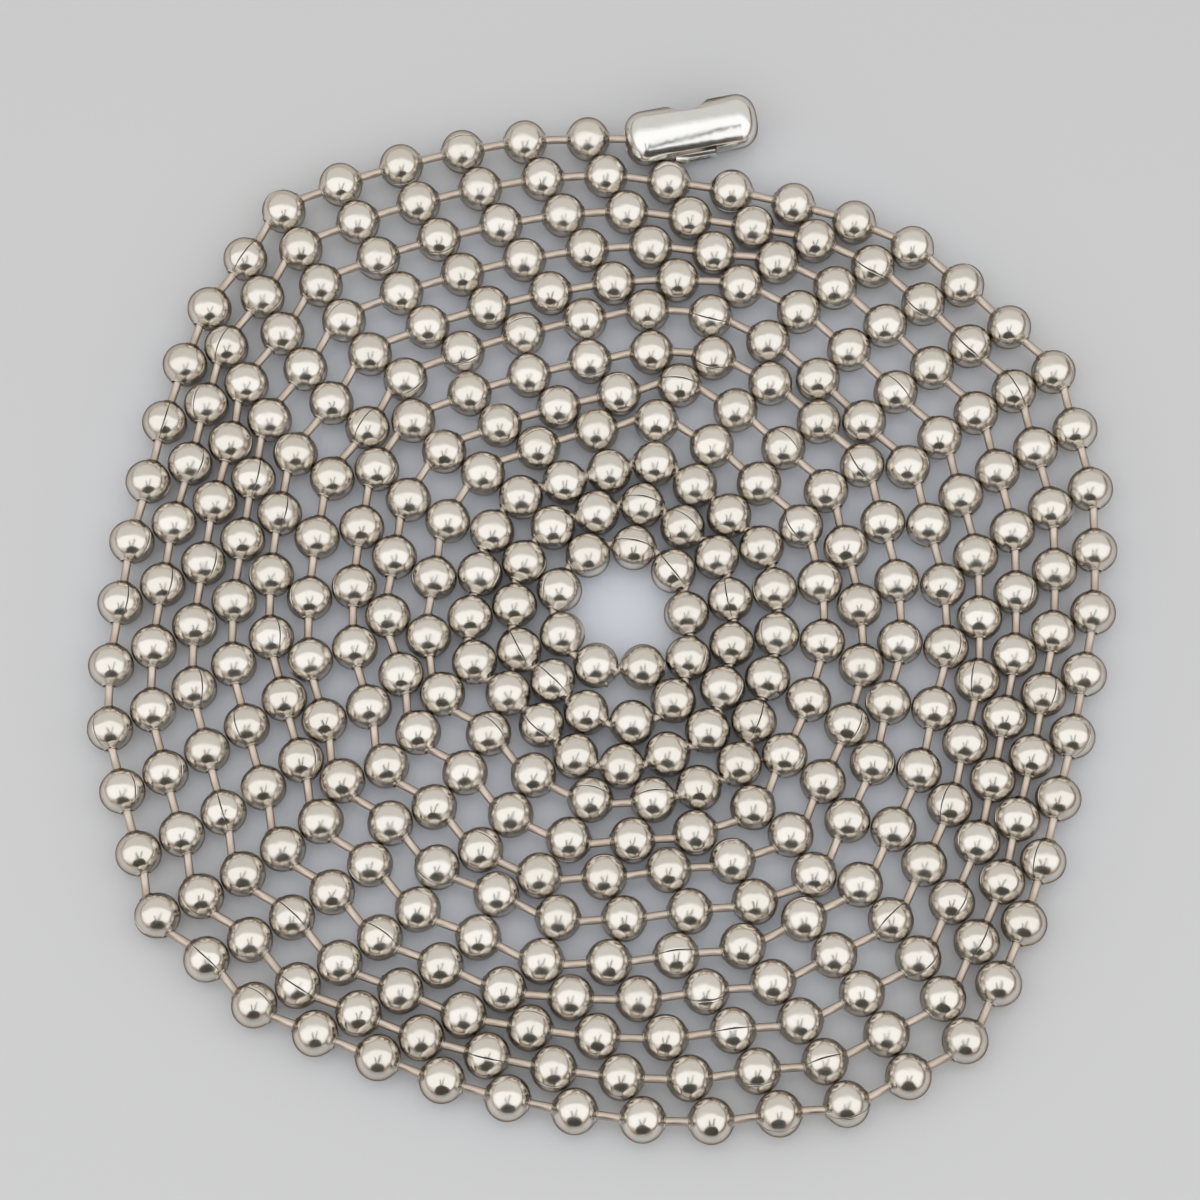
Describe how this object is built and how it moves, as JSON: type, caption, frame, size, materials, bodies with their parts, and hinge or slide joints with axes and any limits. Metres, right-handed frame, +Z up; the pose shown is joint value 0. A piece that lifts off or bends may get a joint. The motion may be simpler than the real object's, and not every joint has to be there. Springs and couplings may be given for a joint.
{
  "type": "roller blind bead chain",
  "caption": "Metal bead chain for a roller blind, wound into a flat coil, with the slotted connector that joins its two ends still on the outer end.",
  "frame": {"origin": "middle of the coil's box, on the surface that the coil lies on", "axes": "+Z up, square to the coil; +Y along the coil's longest side, towards the free outer end with the connector"},
  "size_m": [0.101, 0.1078, 0.0056],
  "materials": {
    "bead_metal": "nickel-plated steel with a warm tint, rolled and polished",
    "pin_metal": "nickel-plated steel wire, slightly duller and rosier than the beads",
    "connector_metal": "bright nickel-plated folded sheet"
  },
  "bodies": {
    "root": {"chain_run_01": "bead_metal", "chain_run_02": "bead_metal", "chain_run_03": "bead_metal", "chain_run_04": "bead_metal", "chain_run_05": "bead_metal", "chain_run_06": "bead_metal", "chain_run_07": "bead_metal", "chain_run_08": "bead_metal", "chain_run_09": "bead_metal", "chain_run_10": "bead_metal", "chain_run_11": "bead_metal", "chain_run_12": "bead_metal", "chain_run_13": "bead_metal", "chain_run_14": "bead_metal", "chain_run_15": "bead_metal", "chain_run_16": "bead_metal", "chain_run_17": "bead_metal", "chain_run_18": "bead_metal", "chain_run_19": "bead_metal", "chain_run_20": "bead_metal", "chain_run_21": "bead_metal", "chain_run_22": "bead_metal", "chain_run_23": "bead_metal", "chain_run_24": "bead_metal", "chain_run_25": "bead_metal", "chain_run_26": "bead_metal", "chain_run_27": "bead_metal", "chain_run_28": "bead_metal", "chain_run_29": "bead_metal", "chain_run_30": "bead_metal", "chain_run_31": "bead_metal", "chain_run_32": "bead_metal", "chain_run_33": "bead_metal", "chain_run_34": "bead_metal", "chain_run_35": "bead_metal", "chain_run_36": "bead_metal", "chain_run_37": "bead_metal", "chain_run_38": "bead_metal", "chain_run_39": "bead_metal", "chain_run_40": "bead_metal", "chain_run_41": "bead_metal", "chain_run_42": "bead_metal", "chain_run_43": "bead_metal", "chain_run_44": "bead_metal", "chain_run_45": "bead_metal", "chain_run_46": "bead_metal", "chain_run_47": "bead_metal", "chain_run_48": "bead_metal", "end_bead_1": "bead_metal"},
    "pin_1": {"link_pin_1": "pin_metal"},
    "bead_2": {"end_bead_2": "bead_metal"},
    "pin_2": {"link_pin_2": "pin_metal"},
    "connector_and_bead": {"held_bead": "bead_metal", "connector": "connector_metal"}
  },
  "joints": [
    {"name": "pin_1_in_bead_1", "type": "hinge", "parent": "root", "child": "pin_1", "pos_m": [-0.00624, 0.04915, 0.00225], "axis": [0, 0, 1], "range_deg": [0, 29]},
    {"name": "bead_2_on_pin_1", "type": "hinge", "parent": "pin_1", "child": "bead_2", "pos_m": [-0.00369, 0.04924, 0.00225], "axis": [0, 0, 1], "range_deg": [0, 25]},
    {"name": "pin_2_in_bead_2", "type": "hinge", "parent": "bead_2", "child": "pin_2", "pos_m": [0.00021, 0.04933, 0.00225], "axis": [0, 0, 1], "range_deg": [0, 29]},
    {"name": "connector_on_pin_2", "type": "hinge", "parent": "pin_2", "child": "connector_and_bead", "pos_m": [0.00277, 0.04904, 0.0028], "axis": [0, 0, 1], "range_deg": [0, 10]}
  ]
}
